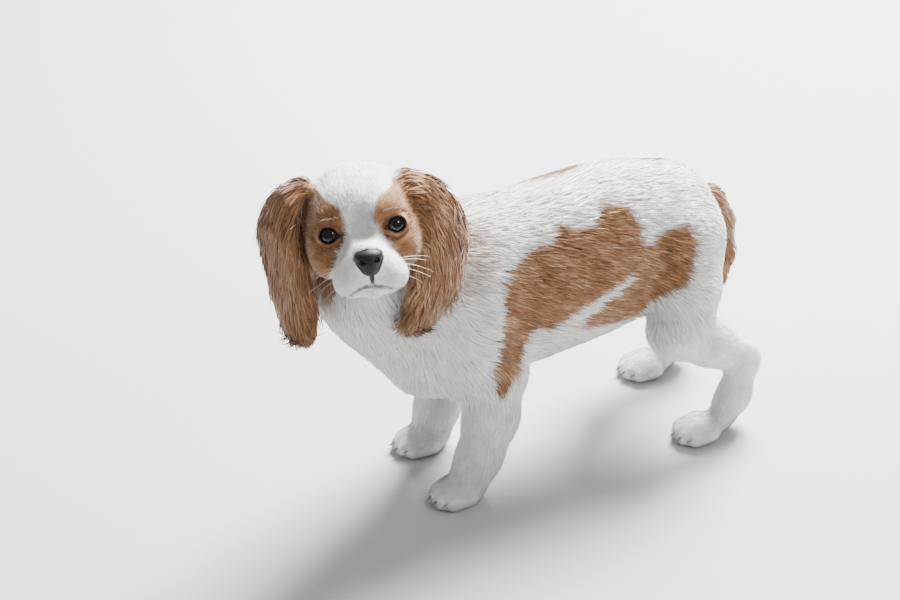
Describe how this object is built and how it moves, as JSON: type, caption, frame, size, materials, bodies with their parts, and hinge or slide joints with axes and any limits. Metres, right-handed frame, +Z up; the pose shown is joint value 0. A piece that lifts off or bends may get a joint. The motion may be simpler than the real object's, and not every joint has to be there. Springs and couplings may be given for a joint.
{
  "type": "cavalier king charles spaniel puppy model",
  "caption": "Life-size still model of a standing cavalier king charles spaniel puppy, white and chestnut, its head turned to its left.",
  "frame": {"origin": "on the floor, under the middle of the whole animal's box", "axes": "+Z up, -Y towards the chest and the way the body faces, +X towards the dog's left side"},
  "size_m": [0.1528, 0.3994, 0.2999],
  "materials": {
    "coat_white": "soft short fur, white",
    "coat_chestnut": "long silky fur, chestnut",
    "nose_leather": "moist black leather",
    "eye_gloss": "glossy dark brown, wet",
    "claw_horn": "smooth pale horn"
  },
  "bodies": {
    "root": {"claw_front_left_1": "claw_horn", "claw_front_left_2": "claw_horn", "claw_front_left_3": "claw_horn", "claw_front_left_4": "claw_horn", "claw_front_right_1": "claw_horn", "claw_front_right_2": "claw_horn", "claw_front_right_3": "claw_horn", "claw_front_right_4": "claw_horn", "claw_hind_left_1": "claw_horn", "claw_hind_left_2": "claw_horn", "claw_hind_left_3": "claw_horn", "claw_hind_left_4": "claw_horn", "claw_hind_right_1": "claw_horn", "claw_hind_right_2": "claw_horn", "claw_hind_right_3": "claw_horn", "claw_hind_right_4": "claw_horn", "ear_left": "coat_chestnut", "ear_right": "coat_chestnut", "eye_left": "eye_gloss", "eye_right": "eye_gloss", "head": "coat_white", "leg_front_left": "coat_white", "leg_front_right": "coat_white", "leg_hind_left": "coat_white", "leg_hind_right": "coat_white", "neck": "coat_white", "nose": "nose_leather", "tail": "coat_chestnut", "trunk": "coat_white"}
  },
  "joints": []
}
